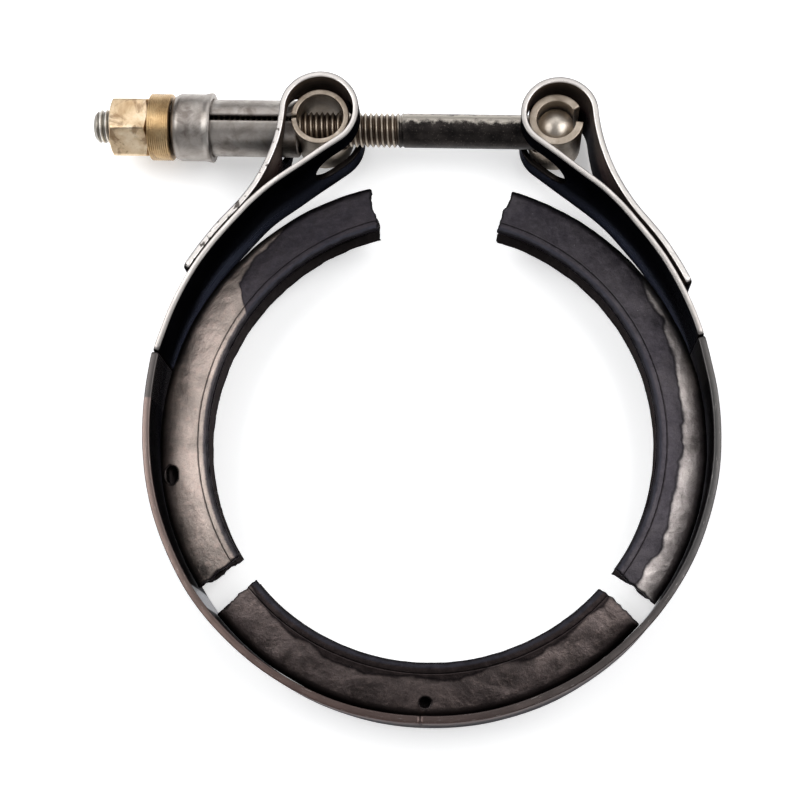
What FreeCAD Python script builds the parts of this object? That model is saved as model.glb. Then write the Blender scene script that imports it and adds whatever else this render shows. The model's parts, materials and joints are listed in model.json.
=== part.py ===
"""V-band clamp with a trunnion T-bolt: a steel ring that draws two pipe flanges together.

Frame: millimetres, origin at the ring's centre in its mid-plane, +Z along the pipe axis,
+Y from the ring's centre towards the bolt, and the nut at the bolt's -X end.
The hoop is one strip.  It bends at the two gaps between its lower and side V segments, so it
is written as three bands that meet there.
"""
import FreeCAD, Part
import os
from math import atan2, cos, degrees, radians, sin, sqrt, tan

V = FreeCAD.Vector
X_AXIS = V(1, 0, 0)
Z_AXIS = V(0, 0, 1)

# Hoop strip
BAND_R = 60.55             # middle of the strip's thickness
BAND_T = 1.6
BAND_WIDTH = 22.0
FLEX_DEG = -37.8           # right flex point; the left one is its mirror image
FLEX_SLIT = 0.3
SPRUNG = 1.3               # the open sides' arcs are this much larger, and tangent at the flex points

# V segments (retainers) that sit inside the hoop
V_SHEET = 1.45
V_WEB_R = 59.7             # outside of the web, against the strip
V_LIP_R = 48.4             # free edge of the flanks
V_HALF_ROOT = 0.95         # half distance between the flanks' mid-surfaces at the web
V_CREASE = (50.6, 2.95)    # (r, z) where the flank's mid-surface opens into the lip
V_LIP_Z = 3.80
LIP_BEVEL = (1.25, 0.60)   # radial and axial size of the bevel on the lip's outer edge
BOTTOM_V_DEG = (220.8, 320.0)
SIDE_V_RISE = 0.55             # the open sides carry their segments this much higher,
SIDE_V_MORE_R = 0.25           # and this much wider
LEFT_V_DEG = (-35.1, 75.0)     # about the raised centre, before mirroring
RIGHT_V_DEG = (-35.9, 74.8)
LEFT_HOLE = (57.1, 189.4, 3.0, 4.1)        # hole in an upper flank: r, angle, radial and tangential size
BOTTOM_HOLE = (56.5, 270.6, 2.3, 2.4)

# Sides, both described on the +X side; the left one is mirrored.  The hoop's end spreads outwards
# and the loop strap's foot is welded edge to edge to it.
STRAP_T = 1.3
BOLT_Y = 72.8
LEFT = {
    "spread_deg": -8.0, "spread_r": 83.8, "spread_end_deg": 8.35,
    "foot": (60.18, 16.17), "way": ((105.6, 19.3), (129.5, 24.4)), "bends": (63.9, 43.7),
    "loop": (27.25, 73.4), "loop_r": 8.35, "neck_drop": 4.3,
    "turn_r": 40.4, "fold_gap": 0.42, "lap_end_deg": 28.0,
}
RIGHT = {
    "spread_deg": 12.0, "spread_r": 179.0, "spread_end_deg": 14.78,
    "foot": (57.56, 22.19), "way": ((106.9, 14.1), (129.0, 24.0)), "bends": (70.0, 45.9),
    "loop": (26.6, 73.15), "loop_r": 8.0, "neck_drop": 3.8,
    "turn_r": 45.6, "fold_gap": 0.91, "lap_end_deg": 26.2,
}
SLOT_WIDTH = 9.2
SLOT_END = (27.9, 61.0)    # lower end of the bolt slot in the inner leg
SLOT_TOP_DEG = 38.0        # upper end, above the loop's centre
SLEEVE_WINDOW_R = 7.4

# Barrels in the loops
BARREL_HALF = 7.75
LEFT_BARREL_X, LEFT_BARREL_R, LEFT_BARREL_BORE_R = -27.3, 6.55, 5.3
RIGHT_BARREL_X, RIGHT_BARREL_R, RIGHT_BARREL_BORE_R = 26.0, 6.1, 4.4
RIGHT_SEAM_DEG = (-3.0, 30.0)

# T-bolt, sleeve, cap, collar and nut: places along the bolt
BOLT_R = 3.96
BOLT_TIP_X = -80.1
HEAD_R = 4.0
HEAD_DOME_R = 5.8
NUT_X = (-75.9, -67.1)
NUT_AF = 13.0
NUT_BORE_R = 4.03
NUT_TURN_DEG = 24.4
COLLAR_X = (-67.05, -62.05)
COLLAR_R = 7.65
COLLAR_BORE_R = 4.2
CAP_X = (-61.9, -52.5)
CAP_R, CAP_LIP_R = 7.7, 8.0
CAP_BORE_R = 6.55
CAP_HOLE_R = 4.3
CAP_END_T = 1.5
SLEEVE_R, SLEEVE_BORE_R = 6.5, 5.25
SLEEVE_END_X = -32.6
SLEEVE_SLIT = 1.1


def polar(r, deg):
    return V(r * cos(radians(deg)), r * sin(radians(deg)), 0)


def heading(v):
    return degrees(atan2(v.y, v.x))


def left_normal(v):
    return V(-v.y, v.x, 0)


def meet(p, along_p, q, along_q):
    """Point where two lines in the XY plane cross."""
    cross = along_p.x * along_q.y - along_p.y * along_q.x
    gap = q - p
    return p + along_p * ((gap.x * along_q.y - gap.y * along_q.x) / cross)


def circles_meet(c1, r1, c2, r2):
    """Meeting point of two circles on the right of the way from c1 to c2."""
    gap = c2 - c1
    d = gap.Length
    along = (d * d + r1 * r1 - r2 * r2) / (2 * d)
    across = sqrt(r1 * r1 - along * along)
    unit = gap * (1 / d)
    return c1 + unit * along - left_normal(unit) * across


# A path is a list of ("line", start, end) and ("arc", centre, radius, from_deg, to_deg).

def rounded(points, radii):
    """Path along a polyline whose inner corners are rounded to the given radii."""
    path = []
    start = points[0]
    for before, corner, after, radius in zip(points, points[1:], points[2:], radii):
        way_in = (corner - before).normalize()
        way_out = (after - corner).normalize()
        turn = radians((heading(way_out) - heading(way_in) + 180) % 360 - 180)
        side = 1 if turn > 0 else -1
        reach = radius * tan(abs(turn) / 2)
        centre = corner - way_in * reach + left_normal(way_in) * (side * radius)
        from_deg = heading(way_in) - 90 * side
        path.append(("line", start, corner - way_in * reach))
        path.append(("arc", centre, radius, from_deg, from_deg + degrees(turn)))
        start = corner + way_out * reach
    if (points[-1] - start).Length > 0.001:
        path.append(("line", start, points[-1]))
    return path


def offset_edges(path, shift):
    """Edges of the path moved to its left by shift."""
    edges = []
    for kind, *data in path:
        if kind == "line":
            start, end = data
            if (end - start).Length < 0.001:
                continue
            move = left_normal((end - start).normalize()) * shift
            edges.append(Part.makeLine(start + move, end + move))
        else:
            centre, radius, a0, a1 = data
            r = radius - shift if a1 > a0 else radius + shift
            ends = [centre + polar(r, a) for a in (a0, (a0 + a1) / 2, a1)]
            edges.append(Part.Arc(*ends).toShape())
    return edges


def strip_face(path, thickness):
    sides = [offset_edges(path, s * thickness / 2) for s in (1, -1)]
    caps = []
    for edge_end in (0, -1):
        near = [side[edge_end].Vertexes[edge_end].Point for side in sides]
        caps.append(Part.makeLine(*near))
    edges = sides[0] + sides[1] + caps
    return Part.Face(Part.Wire(Part.__sortEdges__(edges)))


def strip(path, thickness):
    """Strip of the clamp's width whose edge view is the path."""
    face = strip_face(path, thickness)
    face.translate(V(0, 0, -BAND_WIDTH / 2))
    return face.extrude(V(0, 0, BAND_WIDTH))


def mirrored(shape):
    return shape.mirror(V(0, 0, 0), X_AXIS)


def x_cylinder(radius, x0, x1):
    return Part.makeCylinder(radius, x1 - x0, V(x0, BOLT_Y, 0), X_AXIS)


def x_revolve(outline):
    """Solid of (x, radius) corners turned about the bolt axis."""
    points = [V(x, BOLT_Y + r, 0) for x, r in outline]
    face = Part.Face(Part.makePolygon(points + points[:1]))
    return face.revolve(V(0, BOLT_Y, 0), X_AXIS, 360)


# Hoop

def slit_deg():
    return degrees(FLEX_SLIT / 2 / BAND_R)


def bottom_band():
    start, end = -180 - FLEX_DEG + slit_deg(), FLEX_DEG - slit_deg()
    return strip([("arc", V(0, 0, 0), BAND_R, start, end)], BAND_T)


def side_centre():
    return polar(-SPRUNG, FLEX_DEG)


def side_band(side):
    """Side of the hoop from the flex point to the end that meets the strap's foot."""
    side_r = BAND_R + SPRUNG
    spread_centre = side_centre() + polar(side_r - side["spread_r"], side["spread_deg"])
    path = [
        ("arc", side_centre(), side_r, FLEX_DEG + slit_deg(), side["spread_deg"]),
        ("arc", spread_centre, side["spread_r"], side["spread_deg"], side["spread_end_deg"]),
    ]
    return strip(path, BAND_T)


# V segments

def v_profile():
    """Section of a V segment in the (r, z) plane."""
    web_r = V_WEB_R - V_SHEET / 2
    half = [V(web_r, V_HALF_ROOT, 0), V(V_CREASE[0], V_CREASE[1], 0), V(V_LIP_R - 0.4, V_LIP_Z + 0.15, 0)]
    below = [V(p.x, -p.y, 0) for p in reversed(half)]
    path = rounded(below + half, [1.2, 0.95, 0.95, 1.2])
    face = strip_face(path, V_SHEET)
    trim = Part.makePlane(20, 40, V(V_LIP_R, -20, 0))
    face = face.common(trim).Faces[0]
    outer_z = max(v.Point.y for v in face.Vertexes)
    for sign in (1, -1):
        bevel = Part.makePolygon([
            V(V_LIP_R - 1, sign * (outer_z - LIP_BEVEL[1] - 0.5), 0),
            V(V_LIP_R, sign * (outer_z - LIP_BEVEL[1]), 0),
            V(V_LIP_R + LIP_BEVEL[0], sign * outer_z, 0),
            V(V_LIP_R + LIP_BEVEL[0], sign * (outer_z + 1), 0),
            V(V_LIP_R - 1, sign * (outer_z + 1), 0),
            V(V_LIP_R - 1, sign * (outer_z - LIP_BEVEL[1] - 0.5), 0),
        ])
        face = face.cut(Part.Face(bevel)).Faces[0]
    face.rotate(V(0, 0, 0), X_AXIS, 90)
    return face


def v_segment(span, more_r=0.0):
    start, end = span
    face = v_profile()
    face.translate(V(more_r, 0, 0))
    face.rotate(V(0, 0, 0), Z_AXIS, start)
    return face.revolve(V(0, 0, 0), Z_AXIS, end - start)


def side_v_segment(span):
    segment = v_segment(span, SIDE_V_MORE_R)
    segment.translate(V(0, SIDE_V_RISE, 0))
    return segment


def flank_hole(r, deg, radial_size, tangential_size):
    """Cutter for a hole in the upper flank, longer along the segment than across it."""
    place = polar(r, deg)
    run = polar(1, deg + 90) * ((tangential_size - radial_size) / 2)
    ends = [Part.makeCylinder(radial_size / 2, 6, place + run * k) for k in (-1, 1)]
    return ends[0].fuse(ends[1])


# Straps

def inner_leg(side):
    """Foot, two bends, and the neck that leads into the loop."""
    (foot_deg, foot_run), (mid_deg, mid_run) = side["way"]
    foot, loop = V(*side["foot"]), V(*side["loop"])
    first = foot + polar(foot_run, foot_deg)
    second = first + polar(mid_run, mid_deg)
    neck = loop + V(-side["loop_r"], -side["neck_drop"])
    neck_r = side["neck_drop"] / tan(radians(heading(neck - second) - 90) / 2)
    return rounded([foot, first, second, neck, loop - X_AXIS * side["loop_r"]], [*side["bends"], neck_r])


def strap_path(side):
    loop, loop_r, turn_r = V(*side["loop"]), side["loop_r"], side["turn_r"]
    leg = inner_leg(side)
    bend_centre = leg[1][1]
    lap_r = side["bends"][0] + STRAP_T + side["fold_gap"]
    turn = circles_meet(bend_centre, lap_r + turn_r, loop, loop_r + turn_r)
    return leg + [
        ("arc", loop, loop_r, 180, heading(turn - loop)),
        ("arc", turn, turn_r, heading(loop - turn) % 360, heading(bend_centre - turn) % 360),
        ("arc", bend_centre, lap_r, heading(turn - bend_centre), side["lap_end_deg"]),
    ]


def bolt_slot(side):
    """Cutter for the bolt's slot, from the loop's inner side down the inner leg."""
    loop, loop_r = V(*side["loop"]), side["loop_r"]
    neck_line = [data for kind, *data in inner_leg(side) if kind == "line"][2]
    slope_deg = heading(neck_line[1] - neck_line[0])
    along, across = polar(1, slope_deg), polar(1, slope_deg - 90)
    half = SLOT_WIDTH / 2
    end_centre = V(*SLOT_END) + along * half
    top = loop.y + loop_r * sin(radians(SLOT_TOP_DEG))
    outside_x = loop.x - loop_r - 2
    corners = [
        V(outside_x, top, -half), V(loop.x - loop_r / 2, top, -half),
        end_centre + across * 3 - Z_AXIS * half, end_centre - across * 3 - Z_AXIS * half,
        V(outside_x, loop.y - loop_r, -half),
    ]
    run = Part.Face(Part.makePolygon(corners + corners[:1])).extrude(Z_AXIS * SLOT_WIDTH)
    end = Part.makeCylinder(half, 6, end_centre - across * 3, across)
    return run.fuse(end)


def loop_strap(side):
    return strip(strap_path(side), STRAP_T).cut(bolt_slot(side))


def left_strap():
    window = Part.makeCylinder(SLEEVE_WINDOW_R, 12, V(3 - LEFT_BARREL_X, BOLT_Y, 0), X_AXIS)
    return mirrored(loop_strap(LEFT).cut(window))


# Bolt line

def barrel(x, outer_r, bore_r):
    height = 2 * BARREL_HALF
    base = V(x, BOLT_Y, -BARREL_HALF)
    return Part.makeCylinder(outer_r, height, base).cut(Part.makeCylinder(bore_r, height, base))


def trunnion_barrel():
    seam = Part.makeBox(4, 0.5, 2 * BARREL_HALF, V(LEFT_BARREL_X - LEFT_BARREL_R - 1, BOLT_Y - 0.25, -BARREL_HALF))
    tube = barrel(LEFT_BARREL_X, LEFT_BARREL_R, LEFT_BARREL_BORE_R).cut(seam)
    return tube.cut(x_cylinder(CAP_HOLE_R, LEFT_BARREL_X - 10, LEFT_BARREL_X + 10))


def bolt_barrel():
    tube = barrel(RIGHT_BARREL_X, RIGHT_BARREL_R, RIGHT_BARREL_BORE_R)
    seam = Part.makeCylinder(
        RIGHT_BARREL_R + 1, 2 * BARREL_HALF, V(RIGHT_BARREL_X, BOLT_Y, -BARREL_HALF), Z_AXIS,
        RIGHT_SEAM_DEG[1] - RIGHT_SEAM_DEG[0])
    seam.rotate(V(RIGHT_BARREL_X, BOLT_Y, 0), Z_AXIS, RIGHT_SEAM_DEG[0])
    return tube.cut(seam).cut(x_cylinder(CAP_HOLE_R - 0.1, RIGHT_BARREL_X - 10, RIGHT_BARREL_X))


def t_bolt():
    """Shank with its thread's outer envelope, and the cross bar that sits in the right barrel."""
    shank = x_revolve([
        (BOLT_TIP_X, 0), (BOLT_TIP_X, BOLT_R - 1.0), (BOLT_TIP_X + 1.0, BOLT_R),
        (RIGHT_BARREL_X, BOLT_R), (RIGHT_BARREL_X, 0),
    ])
    bar = Part.makeCylinder(HEAD_R, 2 * HEAD_DOME_R, V(RIGHT_BARREL_X, BOLT_Y, -HEAD_DOME_R))
    head = bar.common(Part.makeSphere(HEAD_DOME_R, V(RIGHT_BARREL_X, BOLT_Y, 0)))
    return shank.fuse(head).removeSplitter()


def trunnion_sleeve():
    x0 = CAP_X[0] + CAP_END_T + 0.05
    tube = x_cylinder(SLEEVE_R, x0, SLEEVE_END_X).cut(x_cylinder(SLEEVE_BORE_R, x0, SLEEVE_END_X))
    slit = Part.makeBox(SLEEVE_END_X - x0, SLEEVE_SLIT, SLEEVE_R + 1, V(x0, BOLT_Y - SLEEVE_SLIT / 2, 0))
    mouth = Part.makeCylinder(LEFT_BARREL_R + 0.05, 20, V(LEFT_BARREL_X, BOLT_Y, -10))
    return tube.cut(slit).cut(mouth)


def end_cap():
    x0, x1 = CAP_X
    inside = x0 + CAP_END_T
    return x_revolve([
        (x0, CAP_HOLE_R), (x0, CAP_R - 1.6), (x0 + 0.5, CAP_R - 0.5), (x0 + 1.7, CAP_R), (x1 - 1.6, CAP_R),
        (x1 - 0.9, CAP_LIP_R), (x1, CAP_LIP_R), (x1, CAP_BORE_R), (inside, CAP_BORE_R), (inside, CAP_HOLE_R),
    ])


def nut_collar():
    x0, x1 = COLLAR_X
    edge = 0.4
    return x_revolve([
        (x0, COLLAR_BORE_R), (x0, COLLAR_R - edge), (x0 + edge, COLLAR_R),
        (x1 - edge, COLLAR_R), (x1, COLLAR_R - edge), (x1, COLLAR_BORE_R),
    ])


def lock_nut():
    x0, x1 = NUT_X
    corner_r = NUT_AF / sqrt(3)
    corners = []
    for k in range(7):
        a = radians(60 * k - NUT_TURN_DEG)
        corners.append(V(x0, BOLT_Y - corner_r * sin(a), corner_r * cos(a)))
    prism = Part.Face(Part.makePolygon(corners)).extrude(X_AXIS * (x1 - x0))
    flat_r = NUT_AF / 2
    chamfer = (corner_r - flat_r) * tan(radians(30))
    envelope = x_revolve([
        (x0, NUT_BORE_R), (x0, flat_r - 0.1), (x0 + chamfer, corner_r),
        (x1 - chamfer, corner_r), (x1, flat_r - 0.1), (x1, NUT_BORE_R),
    ])
    return prism.common(envelope)


def main():
    nodes = {
        "ring_band_left": mirrored(side_band(LEFT)),
        "ring_band_bottom": bottom_band(),
        "ring_band_right": side_band(RIGHT),
        "v_segment_left": mirrored(side_v_segment(LEFT_V_DEG)).cut(flank_hole(*LEFT_HOLE)),
        "v_segment_bottom": v_segment(BOTTOM_V_DEG).cut(flank_hole(*BOTTOM_HOLE)),
        "v_segment_right": side_v_segment(RIGHT_V_DEG),
        "loop_strap_left": left_strap(),
        "loop_strap_right": loop_strap(RIGHT),
        "trunnion_barrel": trunnion_barrel(),
        "trunnion_sleeve": trunnion_sleeve(),
        "end_cap": end_cap(),
        "t_bolt": t_bolt(),
        "bolt_barrel": bolt_barrel(),
        "nut_collar": nut_collar(),
        "lock_nut": lock_nut(),
    }
    os.makedirs("parts", exist_ok=True)
    for name, shape in nodes.items():
        solids = shape.Solids
        if len(solids) != 1 or not shape.isValid():
            raise ValueError(f"{name}: {len(solids)} solids, valid {shape.isValid()}")
        solids[0].exportStep(f"parts/{name}.step")
        box = shape.BoundBox
        print(f"{name}: {shape.Volume:.0f} mm3, x {box.XMin:.1f}..{box.XMax:.1f}, y {box.YMin:.1f}..{box.YMax:.1f}")


main()
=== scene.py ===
"""Looks of the V-band clamp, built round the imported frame.  Shapes are worked out in millimetres."""

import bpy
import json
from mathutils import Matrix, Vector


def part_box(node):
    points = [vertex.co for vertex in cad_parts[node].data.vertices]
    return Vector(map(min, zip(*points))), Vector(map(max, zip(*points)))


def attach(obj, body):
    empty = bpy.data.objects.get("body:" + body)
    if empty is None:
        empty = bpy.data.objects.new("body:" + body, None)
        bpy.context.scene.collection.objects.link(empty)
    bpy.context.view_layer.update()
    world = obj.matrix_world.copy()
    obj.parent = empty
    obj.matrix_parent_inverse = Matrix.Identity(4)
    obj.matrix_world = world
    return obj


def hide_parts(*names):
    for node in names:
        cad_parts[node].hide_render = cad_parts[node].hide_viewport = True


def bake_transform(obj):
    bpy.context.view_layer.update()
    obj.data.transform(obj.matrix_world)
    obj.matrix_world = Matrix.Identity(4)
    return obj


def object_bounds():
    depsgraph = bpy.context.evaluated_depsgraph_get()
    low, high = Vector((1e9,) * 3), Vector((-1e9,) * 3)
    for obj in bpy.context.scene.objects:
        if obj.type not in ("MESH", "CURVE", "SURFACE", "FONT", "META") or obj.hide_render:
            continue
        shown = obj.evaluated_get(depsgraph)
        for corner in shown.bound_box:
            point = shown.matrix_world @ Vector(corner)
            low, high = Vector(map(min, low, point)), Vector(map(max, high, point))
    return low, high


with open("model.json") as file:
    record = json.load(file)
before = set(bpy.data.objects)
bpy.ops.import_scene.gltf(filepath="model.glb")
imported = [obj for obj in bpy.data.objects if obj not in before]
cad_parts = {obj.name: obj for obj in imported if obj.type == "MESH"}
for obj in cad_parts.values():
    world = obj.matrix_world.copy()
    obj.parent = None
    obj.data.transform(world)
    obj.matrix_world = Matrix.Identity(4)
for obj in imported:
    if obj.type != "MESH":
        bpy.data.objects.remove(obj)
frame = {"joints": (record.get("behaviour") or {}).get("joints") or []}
cad_box = [list(corner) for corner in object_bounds()]

import json
from math import atan2, cos, degrees, pi, radians, sin, sqrt, tan

import bmesh
import bpy
import numpy as np
from mathutils import Matrix, Vector
from mathutils.geometry import delaunay_2d_cdt

MM = 0.001
JOINTS = {joint["name"]: joint for joint in frame["joints"]}


def joint_xy(name):
    return np.array(JOINTS[name]["pos_m"][:2]) / MM


def box_mm(node):
    return [np.array(corner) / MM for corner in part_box(node)]


# Places read from the frame
LEFT_BARREL, RIGHT_BARREL = joint_xy("trunnion_turn"), joint_xy("t_bolt_turn")
LEFT_FLEX, RIGHT_FLEX = joint_xy("left_flex"), joint_xy("right_flex")
BOLT_Y = RIGHT_BARREL[1]
BOLT_TIP_X = box_mm("t_bolt")[0][0]
NUT_X = [corner[0] for corner in box_mm("lock_nut")]
COLLAR_X = [corner[0] for corner in box_mm("nut_collar")]
CAP_X = [corner[0] for corner in box_mm("end_cap")]
SLEEVE_X = [corner[0] for corner in box_mm("trunnion_sleeve")]
BARREL_HALF = box_mm("bolt_barrel")[1][2]
HALF_WIDTH = box_mm("ring_band_bottom")[1][2]
FLOOR_Z = cad_box[0][2]

# Hoop and V segments
BAND_R, BAND_T = 60.55, 1.6
FLEX_DEG = -37.8
SPRUNG = 1.3
SIDE_V_RISE = 0.55
SIDE_V_MORE_R = 0.25
V_SHEET = 1.45
V_WEB_R, V_LIP_R = 59.7, 48.4
V_HALF_ROOT, V_LIP_Z = 0.95, 3.80
V_CREASE = (50.6, 2.95)
LIP_BEVEL = (1.25, 0.60)

# Sides, described on the +X side
STRAP_T = 1.3
LEFT = {
    "spread_deg": -8.0, "spread_r": 83.8, "spread_end_deg": 8.35,
    "foot": (60.18, 16.17), "way": ((105.6, 19.3), (129.5, 24.4)), "bends": (63.9, 43.7),
    "loop": (27.25, 73.4), "loop_r": 8.35, "neck_drop": 4.3,
    "turn_r": 40.4, "fold_gap": 0.42, "lap_end_deg": 28.0,
}
RIGHT = {
    "spread_deg": 12.0, "spread_r": 179.0, "spread_end_deg": 14.78,
    "foot": (57.56, 22.19), "way": ((106.9, 14.1), (129.0, 24.0)), "bends": (70.0, 45.9),
    "loop": (26.6, 73.15), "loop_r": 8.0, "neck_drop": 3.8,
    "turn_r": 45.6, "fold_gap": 0.91, "lap_end_deg": 26.2,
}
SLOT_WIDTH = 9.2
SLOT_END = (27.9, 61.0)
SLOT_TOP_DEG = 38.0
SLEEVE_WINDOW_R = 7.4

# Turned and rolled parts
LEFT_BARREL_R, LEFT_BARREL_BORE_R = 6.55, 5.3
RIGHT_BARREL_R, RIGHT_BARREL_BORE_R = 6.1, 4.4
RIGHT_BARREL_HOLE_R = 4.2
LEFT_SEAM_DEG, RIGHT_SEAM_DEG = (-182.6, -177.4), (-3.0, 30.0)
BOLT_R, THREAD_PITCH, THREAD_DEPTH = 3.96, 1.25, 0.68
THREAD_END_X = -9.9
HEAD_R, HEAD_DOME_R = 4.0, 5.8
NUT_AF, NUT_BORE_R, NUT_TURN_DEG = 13.0, 4.03, 24.4
COLLAR_R, COLLAR_BORE_R = 7.65, 4.2
CAP_R, CAP_LIP_R, CAP_BORE_R, CAP_HOLE_R, CAP_END_T = 7.7, 8.0, 6.55, 4.3, 1.5
SLEEVE_R, SLEEVE_BORE_R, SLEEVE_SLIT = 6.5, 5.25, 1.1


# ---------------------------------------------------------------- plane geometry

def polar(r, deg):
    return np.array([r * cos(radians(deg)), r * sin(radians(deg))])


def heading(v):
    return degrees(atan2(v[1], v[0]))


def unit(v):
    return v / np.linalg.norm(v)


def left_of(v):
    return np.array([-v[1], v[0]])


def meet(p, along_p, q, along_q):
    cross = along_p[0] * along_q[1] - along_p[1] * along_q[0]
    gap = q - p
    return p + along_p * ((gap[0] * along_q[1] - gap[1] * along_q[0]) / cross)


def circles_meet(c1, r1, c2, r2):
    gap = c2 - c1
    d = np.linalg.norm(gap)
    along = (d * d + r1 * r1 - r2 * r2) / (2 * d)
    across = sqrt(r1 * r1 - along * along)
    return c1 + unit(gap) * along - left_of(unit(gap)) * across


def rounded(points, radii):
    """Path along a polyline whose inner corners are rounded to the given radii."""
    path = []
    start = points[0]
    for before, corner, after, radius in zip(points, points[1:], points[2:], radii):
        way_in, way_out = unit(corner - before), unit(after - corner)
        turn = radians((heading(way_out) - heading(way_in) + 180) % 360 - 180)
        side = 1 if turn > 0 else -1
        reach = radius * tan(abs(turn) / 2)
        centre = corner - way_in * reach + left_of(way_in) * (side * radius)
        from_deg = heading(way_in) - 90 * side
        path.append(("line", start, corner - way_in * reach))
        path.append(("arc", centre, radius, from_deg, from_deg + degrees(turn)))
        start = corner + way_out * reach
    path.append(("line", start, points[-1]))
    return path


class Path:
    """Lines and arcs that can be read at any distance from the start."""

    def __init__(self, segments):
        self.segments = []
        self.length = 0.0
        for kind, *data in segments:
            if kind == "line":
                size = np.linalg.norm(data[1] - data[0])
            else:
                size = radians(abs(data[3] - data[2])) * data[1]
            if size > 1e-6:
                self.segments.append((kind, data, self.length, size))
                self.length += size

    def at(self, s):
        """Points and left normals at the distances s."""
        s = np.asarray(s, float)
        point, normal = np.zeros((s.size, 2)), np.zeros((s.size, 2))
        for number, (kind, data, begin, size) in enumerate(self.segments):
            chosen = s >= begin if number else np.ones(s.size, bool)
            run = s[chosen] - begin
            if kind == "line":
                along = unit(data[1] - data[0])
                point[chosen] = data[0] + run[:, None] * along
                normal[chosen] = left_of(along)
            else:
                centre, radius, a0, a1 = data
                sign = 1 if a1 > a0 else -1
                angle = radians(a0) + sign * run / radius
                spoke = np.stack([np.cos(angle), np.sin(angle)], 1)
                point[chosen] = centre + radius * spoke
                normal[chosen] = -sign * spoke
        return point, normal

    def nearest(self, target):
        """Distance along the path of the point nearest to the target."""
        s = np.linspace(0, self.length, 4000)
        return s[np.argmin(np.linalg.norm(self.at(s)[0] - target, axis=1))]


def strap_path(side):
    """Foot, two bends, neck, loop, and the leg folded back over the first one."""
    (foot_deg, foot_run), (mid_deg, mid_run) = side["way"]
    foot, loop = np.array(side["foot"]), np.array(side["loop"])
    loop_r, turn_r = side["loop_r"], side["turn_r"]
    first = foot + polar(foot_run, foot_deg)
    second = first + polar(mid_run, mid_deg)
    neck = loop + np.array([-loop_r, -side["neck_drop"]])
    neck_r = side["neck_drop"] / tan(radians(heading(neck - second) - 90) / 2)
    leg = rounded([foot, first, second, neck, loop - np.array([loop_r, 0])], [*side["bends"], neck_r])
    bend_centre = leg[1][1]
    lap_r = side["bends"][0] + STRAP_T + side["fold_gap"]
    turn = circles_meet(bend_centre, lap_r + turn_r, loop, loop_r + turn_r)
    return Path(leg + [
        ("arc", loop, loop_r, 180, heading(turn - loop)),
        ("arc", turn, turn_r, heading(loop - turn) % 360, heading(bend_centre - turn) % 360),
        ("arc", bend_centre, lap_r, heading(turn - bend_centre), side["lap_end_deg"]),
    ])


def side_centre():
    return polar(-SPRUNG, FLEX_DEG)


def hoop_path(side):
    """Half of the hoop, from the bottom up to the end that meets the strap's foot."""
    side_r = BAND_R + SPRUNG
    spread_centre = side_centre() + polar(side_r - side["spread_r"], side["spread_deg"])
    return Path([
        ("arc", np.zeros(2), BAND_R, -90, FLEX_DEG),
        ("arc", side_centre(), side_r, FLEX_DEG, side["spread_deg"]),
        ("arc", spread_centre, side["spread_r"], side["spread_deg"], side["spread_end_deg"]),
    ])


def v_path():
    """Middle of the V sheet's section in the (r, z) plane, from the lower lip to the upper one."""
    web_r = V_WEB_R - V_SHEET / 2
    half = [(web_r, V_HALF_ROOT), V_CREASE, (V_LIP_R - 0.05, V_LIP_Z)]
    points = [np.array([r, -z]) for r, z in reversed(half)] + [np.array(p) for p in half]
    return Path(rounded(points, [1.2, 0.95, 0.95, 1.2]))


# ---------------------------------------------------------------- mesh building

def wobble(x, y, seed, size, octaves=3):
    """Smooth deterministic noise of about unit height with features of the given size."""
    draw = np.random.default_rng(seed)
    total = np.zeros(np.broadcast(x, y).shape)
    for octave in range(octaves):
        for _ in range(4):
            angle, phase = draw.uniform(0, 2 * pi, 2)
            k = 2 * pi / size * 1.9 ** octave * draw.uniform(0.7, 1.3)
            total = total + np.sin(k * (x * cos(angle) + y * sin(angle)) + phase) * 0.6 ** octave
    return total / 3.0


def make_object(name, points, faces, attributes):
    """Mesh object from points in millimetres, with outward faces and smooth shading."""
    mesh = bpy.data.meshes.new(name)
    mesh.from_pydata((np.asarray(points) * MM).tolist(), [], faces)
    for key, values in attributes.items():
        layer = mesh.attributes.new(key, "FLOAT", "POINT")
        layer.data.foreach_set("value", np.asarray(values, np.float32))
    bm = bmesh.new()
    bm.from_mesh(mesh)
    bmesh.ops.remove_doubles(bm, verts=bm.verts, dist=1e-6)
    bmesh.ops.dissolve_degenerate(bm, dist=1e-7, edges=bm.edges)
    if bm.calc_volume(signed=True) < 0:
        bmesh.ops.reverse_faces(bm, faces=bm.faces)
    for face in bm.faces:
        face.smooth = True
    bm.to_mesh(mesh)
    bm.free()
    obj = bpy.data.objects.new(name, mesh)
    bpy.context.scene.collection.objects.link(obj)
    return obj


def rectangle(s0, s1, w0, w1, corner, step):
    """Counterclockwise outline of a rectangle with rounded corners, in (s, w)."""
    corners = [(s1, w0, -90), (s1, w1, 0), (s0, w1, 90), (s0, w0, 180)]
    outline = []
    for s, w, start in corners:
        cs = s - corner if s == s1 else s + corner
        cw = w - corner if w == w1 else w + corner
        for k in range(7):
            outline.append(np.array([cs, cw]) + polar(corner, start + 15 * k))
    return refine(np.array(outline), step)


def refine(loop, step):
    """Closed loop with long sides divided."""
    points = []
    for a, b in zip(loop, np.roll(loop, -1, 0)):
        parts = max(1, int(np.ceil(np.linalg.norm(b - a) / step)))
        points += [a + (b - a) * k / parts for k in range(parts)]
    return np.array(points)


def circle_hole(s, w, rs, rw, count):
    """Clockwise elliptical hole."""
    a = -np.linspace(0, 2 * pi, count, endpoint=False)
    return np.stack([s + rs * np.cos(a), w + rw * np.sin(a)], 1)


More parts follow.
